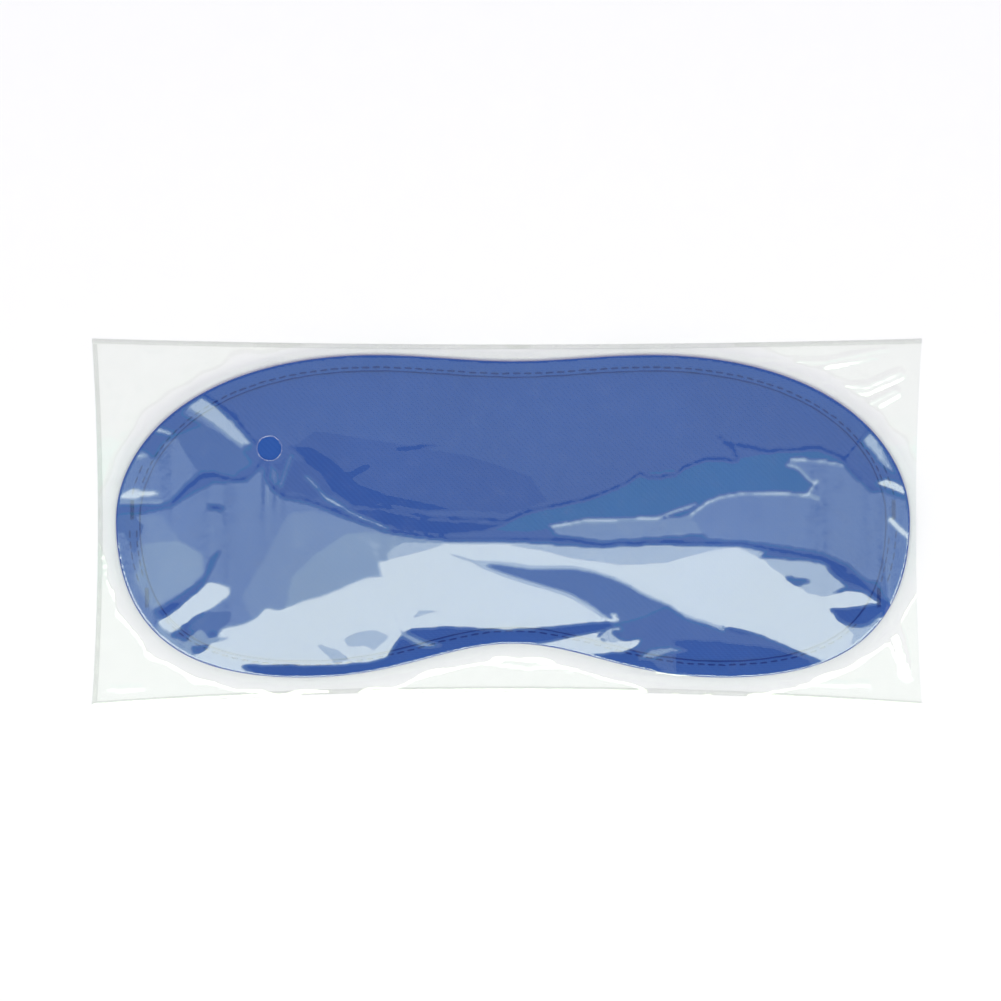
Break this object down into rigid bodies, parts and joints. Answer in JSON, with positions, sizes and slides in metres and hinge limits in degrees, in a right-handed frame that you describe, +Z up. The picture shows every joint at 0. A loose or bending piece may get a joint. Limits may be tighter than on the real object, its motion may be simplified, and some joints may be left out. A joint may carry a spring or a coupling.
{
  "type": "sleep mask in a clear bag",
  "caption": "Contoured, lightly padded sleep mask with bound edges and elastic head straps, lying in a clear film bag with a vent hole; it slides out of the bag's open end.",
  "frame": {"origin": "middle of the bag's length and width, on the face that the bag lies on", "axes": "+X along the bag towards its open end, which is the mask's width; +Y towards the mask's forehead edge; +Z up, out of the mask's front cover"},
  "size_m": [0.2074, 0.092, 0.0049],
  "materials": {
    "cover_fabric": "woven polyester satin",
    "lining_fabric": "woven polyester satin",
    "foam": "open-cell foam sheet",
    "binding_tape": "folded woven tape",
    "thread": "spun polyester sewing thread",
    "elastic": "flat braided elastic",
    "film": "clear glossy polypropylene film",
    "weld": "hot-cut welded film edge"
  },
  "bodies": {
    "bag": {"bag_front_film": "film", "bag_back_film": "film", "bag_upper_seal": "weld", "bag_lower_seal": "weld", "bag_end_fold": "weld"},
    "mask": {"front_cover": "cover_fabric", "foam_pad": "foam", "back_lining": "lining_fabric", "edge_binding": "binding_tape", "needle_thread": "thread", "bobbin_thread": "thread", "left_end_stitching": "thread", "right_end_stitching": "thread", "upper_strap": "elastic", "lower_strap": "elastic", "left_upper_bartack": "thread", "left_lower_bartack": "thread", "right_upper_bartack": "thread", "right_lower_bartack": "thread"}
  },
  "joints": [
    {"name": "mask_slide", "type": "slide", "parent": "bag", "child": "mask", "axis": [1, 0, 0], "range_m": [0, 0.21]}
  ]
}
